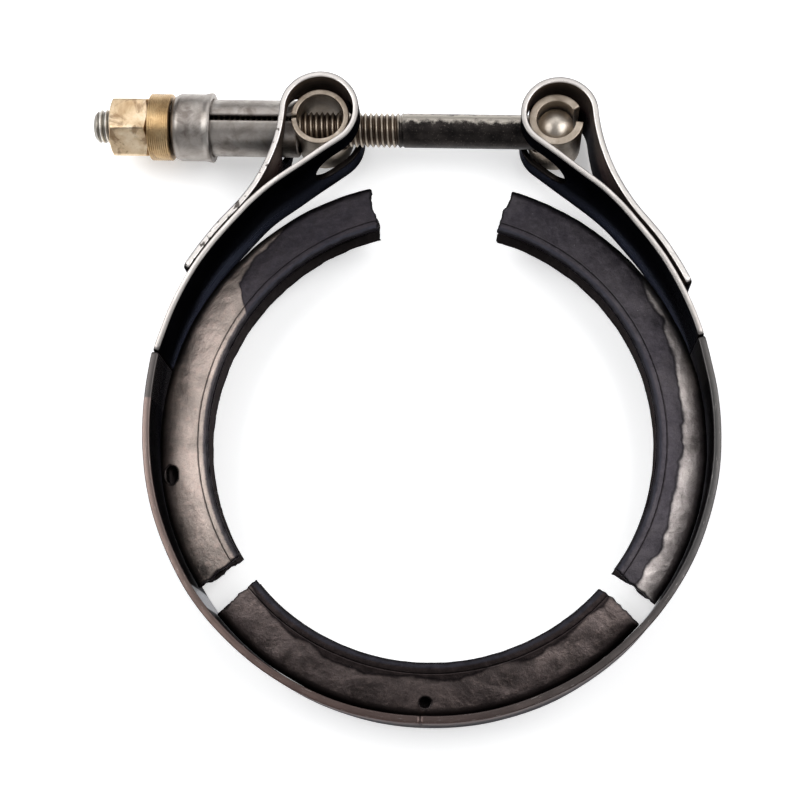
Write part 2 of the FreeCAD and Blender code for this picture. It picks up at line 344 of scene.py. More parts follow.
def slot_hole(s0, s1, half, step):
    """Clockwise slot along s with a square-cornered start and a round end at s0."""
    a = np.linspace(pi / 2, 3 * pi / 2, 25)
    round_end = np.stack([s0 + half + half * np.cos(a), half * np.sin(a)], 1)
    square = rectangle(s0 + half, s1, -half, half, 1.2, step)
    tip = square[square[:, 0] > s0 + half + 1.5]
    order = np.argsort(np.arctan2(tip[:, 1], tip[:, 0] - s0 - half))
    return np.concatenate([round_end, tip[order]])[::-1]


def inside(points, loop):
    """Which points lie inside the closed loop."""
    x, y = points[:, 0][:, None], points[:, 1][:, None]
    x0, y0 = loop[:, 0][None], loop[:, 1][None]
    x1, y1 = np.roll(loop[:, 0], -1)[None], np.roll(loop[:, 1], -1)[None]
    crosses = (y0 > y) != (y1 > y)
    with np.errstate(divide="ignore", invalid="ignore"):
        at = (x1 - x0) * (y - y0) / (y1 - y0) + x0
    return (crosses & (x < at)).sum(1) % 2 == 1


def sheet(name, outline, holes, place, thickness, edge, grid, square_s=None):
    """Closed sheet-metal solid.  outline and holes are loops in the flat (s, w) pattern, and place
    turns (s, w, height) into millimetres.  Edges are rounded by edge, except at s = square_s."""
    loops = [outline] + holes
    ring_depths = [(edge + 0.25, thickness / 2)]
    for k in range(5):
        a = pi / 2 * k / 4
        ring_depths.append((edge * (1 - sin(a)), thickness / 2 - edge * (1 - cos(a))))
    ring_depths += [(d, -h) for d, h in reversed(ring_depths)]

    normals = []
    for loop in loops:
        run = np.roll(loop, -1, 0) - np.roll(loop, 1, 0)
        normal = np.stack([-run[:, 1], run[:, 0]], 1)
        normal /= np.linalg.norm(normal, axis=1)[:, None]
        if square_s is not None:
            on_end = np.abs(loop[:, 0] - square_s) < 1e-6
            at_corner = on_end & (np.abs(loop[:, 1]) > np.abs(loop[:, 1]).max() - 1e-6)
            normal[on_end] = 0
            normal[at_corner, 1] = -np.sign(loop[at_corner, 1])
        normals.append(normal)
    boundary = np.concatenate(loops)
    inward = np.concatenate(normals)
    flat = boundary + inward * ring_depths[0][0]

    flat_loops, begin = [], 0
    for loop in loops:
        flat_loops.append(flat[begin:begin + len(loop)])
        begin += len(loop)
    s0, w0 = outline.min(0)
    s1, w1 = outline.max(0)
    gs = np.arange(s0 + grid[0] / 2, s1, grid[0])
    gw = np.linspace(w0, w1, max(3, int((w1 - w0) / grid[1])) + 2)[1:-1]
    mesh_s, mesh_w = np.meshgrid(gs, gw, indexing="ij")
    spots = np.stack([mesh_s.ravel(), mesh_w.ravel()], 1)
    good = inside(spots, flat_loops[0])
    for loop in flat_loops[1:]:
        good &= ~inside(spots, loop)
    spots = spots[good]
    clear = np.array([np.min(np.sum((flat - p) ** 2, 1)) for p in spots]) > (0.45 * min(grid)) ** 2
    spots = spots[clear]

    edges, begin = [], 0
    for loop in flat_loops:
        n = len(loop)
        edges += [(begin + k, begin + (k + 1) % n) for k in range(n)]
        begin += n
    flat_points = [Vector(p) for p in np.concatenate([flat, spots])]
    made = delaunay_2d_cdt(flat_points, edges, [], 1, 1e-6)
    verts2 = np.array([tuple(v) for v in made[0]])
    where = {}
    for new, olds in enumerate(made[3]):
        for old in olds:
            where[old] = new
    tris = np.array([list(f) for f in made[2]])
    centre = verts2[tris].mean(1)
    keep = inside(centre, flat_loops[0])
    for loop in flat_loops[1:]:
        keep &= ~inside(centre, loop)
    tris = tris[keep]

    n2, nb = len(verts2), len(boundary)
    rows = [verts2, verts2]
    heights = [np.full(n2, thickness / 2), np.full(n2, -thickness / 2)]
    for depth, height in ring_depths[1:-1]:
        rows.append(boundary + inward * depth)
        heights.append(np.full(nb, height))
    sw, h = np.concatenate(rows), np.concatenate(heights)
    faces = tris.tolist() + (tris[:, ::-1] + n2).tolist()
    rings = [[where[k] for k in range(nb)]]
    rings += [[2 * n2 + ring * nb + k for k in range(nb)] for ring in range(len(ring_depths) - 2)]
    rings += [[where[k] + n2 for k in range(nb)]]
    for upper, lower in zip(rings, rings[1:]):
        begin = 0
        for loop in loops:
            n = len(loop)
            for k in range(n):
                a, b = begin + k, begin + (k + 1) % n
                faces.append([upper[b], upper[a], lower[a], lower[b]])
            begin += n
    rim = np.array([sqrt(np.min(np.sum((boundary - p) ** 2, 1))) for p in sw])
    points = place(sw[:, 0], sw[:, 1], h)
    attributes = {"along": sw[:, 0], "across": sw[:, 1], "rim": rim, "height": h}
    obj = make_object(name, points, faces, attributes)
    if square_s is not None:
        s_of = np.zeros(len(obj.data.vertices), np.float32)
        obj.data.attributes["along"].data.foreach_get("value", s_of)
        for face in obj.data.polygons:
            face.use_smooth = not all(abs(s_of[k] - square_s) < 1e-4 for k in face.vertices)
    return obj


def turned(name, outline, x_axis=True, steps=96, centre=(0.0, 0.0)):
    """Ring or disc from a closed outline of (along, radius) corners turned about an axis."""
    outline = np.array(outline, float)
    n = len(outline)
    angles = np.linspace(0, 2 * pi, steps, endpoint=False)
    along = np.tile(outline[:, 0], steps)
    r = np.tile(outline[:, 1], steps)
    a = np.repeat(angles, n)
    if x_axis:
        points = np.stack([along, centre[0] + r * np.cos(a), centre[1] + r * np.sin(a)], 1)
    else:
        points = np.stack([centre[0] + r * np.cos(a), centre[1] + r * np.sin(a), along], 1)
    faces = []
    for i in range(steps):
        j = (i + 1) % steps
        faces += [[i * n + k, i * n + (k + 1) % n, j * n + (k + 1) % n, j * n + k] for k in range(n)]
    attributes = {"along": along, "across": np.degrees(a) % 360, "rim": np.full(len(r), 9.0), "height": r}
    return make_object(name, points, faces, attributes)


def softened(corners, radius=0.25, parts=3):
    """Closed outline with its corners rounded."""
    corners = [np.array(c, float) for c in corners]
    outline = []
    for before, corner, after in zip(corners[-1:] + corners[:-1], corners, corners[1:] + corners[:1]):
        to_before, to_after = before - corner, after - corner
        reach = min(radius, np.linalg.norm(to_before) / 2.2, np.linalg.norm(to_after) / 2.2)
        a, b = corner + unit(to_before) * reach, corner + unit(to_after) * reach
        for k in range(parts + 1):
            t = k / parts
            outline.append(a * (1 - t) ** 2 + corner * 2 * t * (1 - t) + b * t ** 2)
    return outline


# ---------------------------------------------------------------- pieces

def strip_place(path, sign, h, bend, z_drop, s, w):
    """Strip point at (s, w, h), pushed along the normal by bend, its rims worn by z_drop."""
    point, normal = path.at(s)
    xy = point + normal * (h + bend)[:, None]
    near_rim = np.clip((np.abs(w) - HALF_WIDTH + 2) / 2, 0, 1)
    return np.stack([sign * xy[:, 0], xy[:, 1], w - np.sign(w) * near_rim * z_drop], 1)


def make_hoop_half(name, side, mirror):
    """Half of the hoop strip.  The two halves meet at the bottom, where their ends stay square."""
    path = hoop_path(side)
    whole = rectangle(-2, path.length, -HALF_WIDTH, HALF_WIDTH, 0.6, 0.7)
    kept = whole[whole[:, 0] > 0.35]
    turn_at = np.argmax(np.linalg.norm(np.roll(kept, -1, 0) - kept, axis=1))
    kept = np.roll(kept, -(turn_at + 1), 0)
    end_w = np.linspace(HALF_WIDTH, -HALF_WIDTH, 33)
    outline = np.concatenate([kept, np.stack([end_w * 0, end_w], 1)])
    sign = -1 if mirror else 1

    def place(s, w, h):
        away = np.clip(s / 12, 0, 1)
        bend = 0.08 * np.minimum(wobble(s, w, 11 + sign, 40, 2) - 1, 0) * away
        worn = 0.10 * np.clip(1 + wobble(s, w * 0, 21 + sign, 17), 0, 2) * away
        return strip_place(path, sign, h, bend, worn, s, w)

    return sheet(name, outline, [], place, BAND_T, 0.32, (1.0, 2.2), square_s=0.0)


def make_strap(name, side, mirror):
    path = strap_path(side)
    outline = rectangle(0, path.length, -HALF_WIDTH, HALF_WIDTH, 1.4, 0.6)
    low = path.nearest(np.array(SLOT_END))
    loop = np.array(side["loop"])
    high = path.nearest(loop + polar(side["loop_r"], 180 - SLOT_TOP_DEG))
    holes = [slot_hole(low, high, SLOT_WIDTH / 2, 0.5)]
    if mirror:
        window = path.nearest(np.array([side["loop"][0] + side["loop_r"] + 0.3, BOLT_Y]))
        holes.append(circle_hole(window, 0, SLEEVE_WINDOW_R * 1.03, SLEEVE_WINDOW_R, 72))
    sign = -1 if mirror else 1

    def place(s, w, h):
        bend = 0.06 * np.minimum(wobble(s, w, 31 + sign, 30, 2) - 1, 0)
        worn = 0.12 * np.clip(1 + wobble(s, w * 0, 41 + sign, 14), 0, 2)
        return strip_place(path, sign, h, bend, worn, s, w)

    return sheet(name, outline, holes, place, STRAP_T, 0.30, (0.5, 1.6))


def make_v_segment(name, span, side, mirror, holes, seed):
    path = v_path()
    start, end = span
    more_r, centre = (SIDE_V_MORE_R, np.array([0, SIDE_V_RISE])) if side else (0.0, np.zeros(2))
    size = radians(abs(end - start)) * (V_WEB_R + more_r)
    across = np.arange(0.5, path.length - 0.4, 0.45)

    def torn(s, part):
        coarse = 0.40 * wobble(s, s * 0, seed + part, 9, 2)
        fine = 0.22 * wobble(s, s * 0, seed + part + 5, 2.2, 2)
        return coarse + fine

    along = np.arange(0.6, size - 0.5, 0.8)
    worn_low = 0.10 * (1 + wobble(along, along * 0, seed + 60, 6, 3))
    worn_high = 0.10 * (1 + wobble(along, along * 0, seed + 61, 6, 3))
    first = np.stack([across, 0.6 + torn(across, 1)], 1)
    last = np.stack([across[::-1], size - 0.6 + torn(across[::-1], 2)], 1)
    lip_high = np.stack([path.length - worn_high, along], 1)
    lip_low = np.stack([worn_low[::-1], along[::-1]], 1)
    outline = np.concatenate([first, lip_high, last, lip_low])
    gap = np.linalg.norm(np.roll(outline, -1, 0) - outline, axis=1)
    outline = outline[gap > 0.12]

    def place(s, w, h):
        point, normal = path.at(s)
        lip = np.minimum(s, path.length - s)
        worn = np.clip(1 - lip / LIP_BEVEL[0], 0, 1) * LIP_BEVEL[1]
        worn = worn * (1 + 0.25 * wobble(w, s * 0, seed + 70, 5, 2))
        h = np.where(h < 0, h + worn, h)
        dent = 0.07 * wobble(w, s, seed + 80, 11, 3) * np.clip(lip / 6, 0.25, 1)
        rz = point + normal * (h + dent)[:, None]
        angle = np.radians(start + (end - start) * w / size)
        r = np.clip(rz[:, 0], V_LIP_R, V_WEB_R) + more_r
        x, y = centre[0] + r * np.cos(angle), centre[1] + r * np.sin(angle)
        return np.stack([-x if mirror else x, y, rz[:, 1]], 1)

    loops = [hole(path, start, end, size) for hole in holes]
    obj = sheet(name, outline, loops, place, V_SHEET, 0.22, (0.75, 0.9))
    lip = obj.data.attributes.new("lip", "FLOAT", "POINT")
    s = np.zeros(len(obj.data.vertices), np.float32)
    obj.data.attributes["along"].data.foreach_get("value", s)
    lip.data.foreach_set("value", np.minimum(s, path.length - s))
    return obj, size


def flank_hole(r, deg, radial, tangential, seed):
    """Hole in the upper flank at radius r."""
    def make(path, start, end, size):
        s = np.linspace(path.length / 2 + 1, path.length, 3000)
        at = s[np.argmin(np.abs(path.at(s)[0][:, 0] - r))]
        w = (deg - start) / (end - start) * size
        loop = circle_hole(at, w, radial / 2, tangential / 2 * V_WEB_R / r, 36)
        centre = np.array([at, w])
        swell = 1 + 0.06 * wobble(loop[:, 0], loop[:, 1], seed, 2.5, 2)
        return centre + (loop - centre) * swell[:, None]
    return make


def tube_sheet(name, x, outer_r, bore_r, gap_deg, hole_deg, hole_r):
    """Rolled barrel: a sheet bent round an axis along Z, open over gap_deg, with one hole for the bolt."""
    mid_r, wall = (outer_r + bore_r) / 2, outer_r - bore_r
    a0, a1 = gap_deg[1], gap_deg[0] + 360
    length = radians(a1 - a0) * mid_r
    outline = rectangle(0, length, -BARREL_HALF, BARREL_HALF, 0.5, 0.4)

    def place(s, w, h):
        angle = np.radians(a0) + s / mid_r
        r = mid_r + h
        return np.stack([x + r * np.cos(angle), BOLT_Y + r * np.sin(angle), w], 1)

    hole_s = radians((hole_deg - a0) % 360) * mid_r
    bolt_hole = circle_hole(hole_s, 0.0, hole_r * 1.08, hole_r, 48)
    return sheet(name, outline, [bolt_hole], place, wall, 0.22, (0.45, 1.2))


def make_thread_bolt():
    """Shank with a helical thread, closed at both ends."""
    sides, per_turn = 48, 10
    start, end = BOLT_TIP_X, RIGHT_BARREL[0] - 3
    rows = int((end - start) / THREAD_PITCH * per_turn) + per_turn
    k = np.arange(rows)[:, None]
    a = np.linspace(0, 2 * pi, sides, endpoint=False)[None]
    x = start - THREAD_PITCH + THREAD_PITCH * (k / per_turn + a / (2 * pi))
    phase = (k % per_turn) / per_turn + a * 0
    ridge = np.interp(phase, [0, 0.07, 0.44, 0.56, 0.93, 1], [1, 1, 0, 0, 1, 1])
    fade = np.clip((x - THREAD_END_X) / 2.0, 0, 1)
    r = BOLT_R - THREAD_DEPTH * (1 - ridge) * (1 - fade) - 0.05 * fade
    tip = np.clip((x - start) / 1.0, 0, 1)
    r = np.minimum(r, BOLT_R - 1.05 + 1.05 * tip)
    nick = 0.05 * wobble(x, a * BOLT_R, 5, 3.0, 3)
    r = r + np.clip(nick, -0.2, 0) * (1 - fade)
    x = np.clip(x, start, end)
    points = np.stack([x.ravel(), (BOLT_Y + r * np.cos(a)).ravel(), (r * np.sin(a)).ravel()], 1)
    points = np.concatenate([points, [[start, BOLT_Y, 0], [end, BOLT_Y, 0]]])
    last = rows - 1
    tip_rim = [i * sides for i in range(1, per_turn + 1)] + list(range(sides))[::-1]
    head_rim = [last * sides + j for j in range(sides)]
    head_rim += [i * sides + sides - 1 for i in range(last - 1, last - per_turn - 1, -1)]
    faces = []
    for centre, ring in ((rows * sides, tip_rim), (rows * sides + 1, head_rim)):
        faces += [[centre, here, there] for here, there in zip(ring, ring[1:] + ring[:1])]
    for i in range(rows - 1):
        for j in range(sides - 1):
            faces.append([i * sides + j, i * sides + j + 1, (i + 1) * sides + j + 1, (i + 1) * sides + j])
        if i + per_turn + 1 < rows:
            faces.append([
                i * sides + sides - 1, (i + per_turn) * sides,
                (i + per_turn + 1) * sides, (i + 1) * sides + sides - 1])
    attributes = {
        "along": points[:, 0], "across": np.append(np.degrees(np.tile(a, (rows, 1))), [0, 0]),
        "rim": np.full(len(points), 9.0), "height": np.append(r, [0, 0]),
    }
    return make_object("bolt_shank", points, faces, attributes)


def make_bolt_head():
    """Cross bar with domed ends, standing along Z in the right barrel."""
    flat_r = HEAD_R - 0.02
    edge_z = sqrt(HEAD_DOME_R ** 2 - flat_r ** 2)
    outline = []
    for k in range(15):
        r = flat_r * sin(pi / 2 * k / 14)
        outline.append((sqrt(HEAD_DOME_R ** 2 - r * r), r))
    outline.append((edge_z - 0.3, HEAD_R))
    outline += [(-z, r) for z, r in reversed(outline)]
    return turned("bolt_head", outline, x_axis=False, steps=64, centre=(RIGHT_BARREL[0], BOLT_Y))


def make_nut():
    x0, x1 = NUT_X
    corner_r, flat_r = NUT_AF / sqrt(3), NUT_AF / 2
    steps = 180
    angles = np.linspace(0, 2 * pi, steps, endpoint=False)
    points, n = [], 0
    for a in angles:
        from_vertex = (degrees(a) + 30) % 60 - 30
        hexagon = flat_r / cos(radians(30 - abs(from_vertex)))
        hexagon = min(hexagon, corner_r - 0.16)
        cut = (hexagon - flat_r + 0.15) * tan(radians(30))
        profile = softened([
            (x0, NUT_BORE_R + 0.75), (x0, flat_r - 0.15), (x0 + cut, hexagon),
            (x1 - cut, hexagon), (x1, flat_r - 0.15), (x1, NUT_BORE_R + 0.6),
            (x1 - 0.6, NUT_BORE_R), (x0 + 0.75, NUT_BORE_R)], 0.16, 3)
        n = len(profile)
        turn = a + radians(180 + NUT_TURN_DEG)
        for x, r in profile:
            points.append([x, BOLT_Y + r * sin(turn), -r * cos(turn)])
    faces = []
    for i in range(steps):
        j = (i + 1) % steps
        faces += [[i * n + k, i * n + (k + 1) % n, j * n + (k + 1) % n, j * n + k] for k in range(n)]
    points = np.array(points)
    attributes = {
        "along": points[:, 0], "across": np.degrees(np.repeat(angles, n)),
        "rim": np.full(len(points), 9.0), "height": np.hypot(points[:, 1] - BOLT_Y, points[:, 2]),
    }
    return make_object("hex_nut", points, faces, attributes)


def make_collar():
    x0, x1 = COLLAR_X
    edge = 0.35
    bevel = []
    for deg in (0, 30, 60, 90):
        bevel.append((edge * (1 - cos(radians(deg))), COLLAR_R - edge + edge * sin(radians(deg))))
    outer = [(x0 + run, r) for run, r in bevel]
    ridges = 9
    for k in range(ridges * 6 + 1):
        x = x0 + edge + (x1 - x0 - 2 * edge) * k / (ridges * 6)
        outer.append((x, COLLAR_R - 0.07 * (1 - cos(2 * pi * k / 6))))
    outer += [(x1 - run, r) for run, r in reversed(bevel[:3])]
    inner = [
        (x1, COLLAR_BORE_R + 0.3), (x1 - 0.3, COLLAR_BORE_R),
        (x0 + 0.3, COLLAR_BORE_R), (x0, COLLAR_BORE_R + 0.3)]
    return turned("ribbed_collar", outer + inner, steps=128, centre=(BOLT_Y, 0))


def make_cap():
    x0, x1 = CAP_X
    outline = softened([
        (x0, CAP_HOLE_R), (x0, CAP_R - 1.9), (x0 + 0.45, CAP_R - 0.75),
        (x0 + 1.7, CAP_R), (x0 + 4.2, CAP_R),
        (x1 - 1.7, CAP_R - 0.02), (x1 - 0.9, CAP_LIP_R - 0.05), (x1, CAP_LIP_R), (x1, CAP_BORE_R),
        (x0 + CAP_END_T, CAP_BORE_R), (x0 + CAP_END_T, CAP_HOLE_R)], 0.5, 5)
    return turned("sleeve_cap", outline, steps=128, centre=(BOLT_Y, 0))


def make_sleeve():
    """Rolled sleeve whose long edges turn up a little at the slit, which faces +Z."""
    x0, x1 = SLEEVE_X
    mid_r, wall = (SLEEVE_R + SLEEVE_BORE_R) / 2, SLEEVE_R - SLEEVE_BORE_R
    gap = degrees(SLEEVE_SLIT / 2 / mid_r)
    length = radians(360 - 2 * gap) * mid_r
    pits = [(radians(62) * mid_r, x1 - 2.6, 0.42), (radians(80) * mid_r, x1 - 3.4, 0.38)]
    outline = rectangle(0, length, x0, x1, 0.3, 0.35)

    def place(s, w, h):
        angle = radians(90 + gap) + s / mid_r
        slit = np.minimum(s, length - s)
        r = mid_r + h + 0.12 * np.clip(1 - slit / 1.3, 0, 1) ** 2
        y, z = r * np.cos(angle), np.minimum(r * np.sin(angle), SLEEVE_R)
        return np.stack([w, BOLT_Y + y, z], 1)

    hole_loops = [circle_hole(length - s, w, r, r, 20) for s, w, r in pits]
    return sheet("rolled_sleeve", outline, hole_loops, place, wall, 0.5, (0.5, 1.1))


# ---------------------------------------------------------------- materials

class Shader:
    """Principled material with short calls for the nodes it needs."""

    def __init__(self, name, metallic=1.0):
        self.material = bpy.data.materials.new(name)
        self.material.use_nodes = True
        self.tree = self.material.node_tree
        self.tree.nodes.clear()
        self.out = self.add("ShaderNodeOutputMaterial")
        self.bsdf = self.add("ShaderNodeBsdfPrincipled")
        self.bsdf.inputs["Metallic"].default_value = metallic
        self.tree.links.new(self.bsdf.outputs[0], self.out.inputs["Surface"])
        spot = self.add("ShaderNodeTexCoord").outputs["Object"]
        self.mm = self.add("ShaderNodeVectorMath", {0: spot, 3: 1 / MM}, operation="SCALE").outputs[0]

    def add(self, kind, inputs=None, **settings):
        node = self.tree.nodes.new(kind)
        for key, value in settings.items():
            setattr(node, key, value)
        for key, value in (inputs or {}).items():
            if isinstance(value, bpy.types.NodeSocket):
                self.tree.links.new(value, node.inputs[key])
            else:
                node.inputs[key].default_value = value
        return node

    def attribute(self, name):
        return self.add("ShaderNodeAttribute", attribute_name=name).outputs["Fac"]

    def math(self, operation, a, b=0.0):
        return self.add("ShaderNodeMath", {0: a, 1: b}, operation=operation).outputs[0]

    def plus(self, a, b):
        return self.math("ADD", a, b)

    def minus(self, a, b):
        return self.math("SUBTRACT", a, b)

    def times(self, a, b):
        return self.math("MULTIPLY", a, b)

    def opposite(self, value):
        return self.minus(1.0, value)

    def size_of(self, value):
        return self.math("ABSOLUTE", value)

    def within(self, value, start, end, soft):
        """1 between start and end, with soft edges."""
        begun, ended = self.step(value, start - soft, start + soft), self.step(value, end + soft, end - soft)
        return self.times(begun, ended)

    def noise(self, scale, detail=4.0, roughness=0.55, vector=None, distortion=0.0):
        inputs = {"Vector": vector or self.mm, "Scale": scale, "Detail": detail, "Roughness": roughness,
                  "Distortion": distortion}
        return self.add("ShaderNodeTexNoise", inputs).outputs["Fac"]

    def step(self, value, low, high):
        inputs = {"Value": value, "From Min": low, "From Max": high}
        return self.add("ShaderNodeMapRange", inputs, interpolation_type="SMOOTHSTEP").outputs[0]

    def spread(self, value, low, high):
        return self.add("ShaderNodeMapRange", {"Value": value, "To Min": low, "To Max": high}).outputs[0]

    def mix(self, factor, a, b):
        node = self.add("ShaderNodeMix", data_type="RGBA")
        for index, value in ((0, factor), (6, a), (7, b)):
            if isinstance(value, bpy.types.NodeSocket):
                self.tree.links.new(value, node.inputs[index])
            elif index == 0:
                node.inputs[0].default_value = value
            else:
                node.inputs[index].default_value = (*value, 1)
        return node.outputs[2]

    def ramp(self, factor, stops):
        node = self.add("ShaderNodeValToRGB", {"Fac": factor})
        ramp = node.color_ramp
        while len(ramp.elements) < len(stops):
            ramp.elements.new(0.5)
        for element, (position, colour) in zip(ramp.elements, stops):
            element.position = position
            element.color = (*colour, 1)
        return node.outputs["Color"]

    def combine(self, x, y, z=0.0):
        return self.add("ShaderNodeCombineXYZ", {0: x, 1: y, 2: z}).outputs[0]

    def bumps(self, layers):
        """Bump nodes in a chain: (height, depth in mm)."""
        normal = None
        for height, depth in layers:
            inputs = {"Height": height, "Strength": 1.0, "Distance": depth * MM}
            if normal is not None:
                inputs["Normal"] = normal
            normal = self.add("ShaderNodeBump", inputs).outputs[0]
        self.tree.links.new(normal, self.bsdf.inputs["Normal"])

    def finish(self, colour, roughness, bumps):
        self.tree.links.new(colour, self.bsdf.inputs["Base Color"])
        self.tree.links.new(roughness, self.bsdf.inputs["Roughness"])
        self.bumps(bumps)
        return self.material


def strip_steel(name, faces, inside, rim, weld_and_shade_spans, rim_shade, reflection_band=None, lit_stretch=None, rusty_from=None):
    """Strip steel.  faces and inside are tone ramps for the sheet's two sides, rim is a tone ramp for its
    cut edges along the strip, burnt lists the stretches along it painted dark for weld discolour and painted
    shade, glow is a paler band of painted reflection along the low part of its face, bare is a stretch of it
    painted bright as painted light, and rust spots lie on the cut edges beyond rusty_from.  The inside is
    painted darker downwards as painted shade, rim_shade darkens the rim towards one side as painted shade,
    the rim carries painted highlight streaks, and where glow is given the sheet is painted darker near its
    holes and edges as painted shade."""
    sh = Shader(name)
    along, across, height = sh.attribute("along"), sh.attribute("across"), sh.attribute("height")
    cloud = sh.noise(0.10, 5, 0.6, distortion=0.4)
    speck = sh.noise(2.4, 5, 0.72)
    flow = sh.combine(sh.times(along, 0.06), sh.times(across, 2.2))
    lines = sh.noise(1.0, 5, 0.65, vector=flow)
    side = sh.step(height, -0.25, 0.25)
    # Painted shade: the inside is painted darker downwards, towards the lower edge.
    within = sh.mix(sh.step(sh.plus(across, sh.spread(cloud, -3, 3)), -5.0, 9.0), (0.022, 0.018, 0.016),
                    sh.ramp(cloud, inside))
    colour = sh.ramp(cloud, faces)
    # Painted reflection: a paler band along the low part of the face, fading towards the loop.
    if reflection_band:
        off_band = sh.size_of(sh.plus(sh.minus(across, reflection_band["at"]), sh.spread(cloud, -2, 2)))
        band = sh.opposite(sh.step(off_band, 0.5, reflection_band["half"]))
        fade = sh.spread(sh.step(along, 26.0, 52.0), 1.0, 0.35)
        colour = sh.mix(sh.times(sh.times(band, fade), reflection_band["amount"]), colour, reflection_band["tone"])
    # Painted light: a stretch of the face is painted bright where it shows lit between the V segments.
    if lit_stretch:
        colour = sh.mix(sh.within(along, *lit_stretch, 0.4), colour, grey(0.90))
    colour = sh.mix(side, within, colour)
    colour = sh.mix(sh.times(sh.step(lines, 0.45, 0.75), 0.5), colour, faces[0][1])
    colour = sh.mix(sh.times(sh.step(speck, 0.62, 0.84), 0.25), colour, inside[-1][1])
    length = rim[-1][0]
    worn = sh.ramp(sh.math("DIVIDE", along, length), [(at / length, tone) for at, tone in rim])
    shade = sh.times(sh.step(sh.plus(height, sh.spread(lines, -0.15, 0.15)), -0.2, 0.75), rim_shade)
    worn = sh.mix(shade, worn, (0.03, 0.03, 0.032))
    worn = sh.mix(sh.times(sh.step(speck, 0.56, 0.72), 0.45), worn, (0.05, 0.04, 0.036))
    # Painted highlight: bright streaks along the cut edges.
    highlight_streaks = sh.noise(1.0, 4, 0.6, vector=sh.combine(sh.times(along, 0.35), sh.times(height, 6.0)))
    worn = sh.mix(sh.times(sh.step(highlight_streaks, 0.62, 0.72), 0.5), worn, (0.62, 0.58, 0.55))
    if rusty_from is not None:
        rusty = sh.step(along, rusty_from, rusty_from + 4)
        spots = sh.times(sh.step(sh.noise(0.55, 3, 0.6), 0.56, 0.62), rusty)
        worn = sh.mix(sh.times(spots, 0.9), worn, (0.040, 0.030, 0.026))
    rim_at = sh.attribute("rim")
    if reflection_band:
        rim_at = sh.minus(HALF_WIDTH, sh.size_of(across))
        # Painted shade: darker round the holes and near the edges of the sheet.
        hole_edge_shade = sh.opposite(sh.step(sh.attribute("rim"), 0.2, 0.9))
        colour = sh.mix(hole_edge_shade, colour, (0.014, 0.012, 0.011))
    edge = sh.opposite(sh.step(sh.plus(rim_at, sh.spread(speck, -0.12, 0.12)), 0.22, 0.5))
    colour = sh.mix(edge, colour, worn)
    # Weld discolour and painted shade: the listed stretches are painted dark.
    for start, end, tone in weld_and_shade_spans:
        colour = sh.mix(sh.times(sh.within(along, start, end, 0.2), 0.92), colour, tone)
    shine = sh.plus(sh.spread(speck, 0.28, 0.46), sh.spread(lines, -0.06, 0.10))
    sh.bsdf.inputs["Specular Tint"].default_value = (0.16, 0.16, 0.19, 1)
    return sh.finish(colour, shine, [(lines, 0.006), (speck, 0.014), (cloud, 0.05)])


def grey(v):
    return (v, v, v)


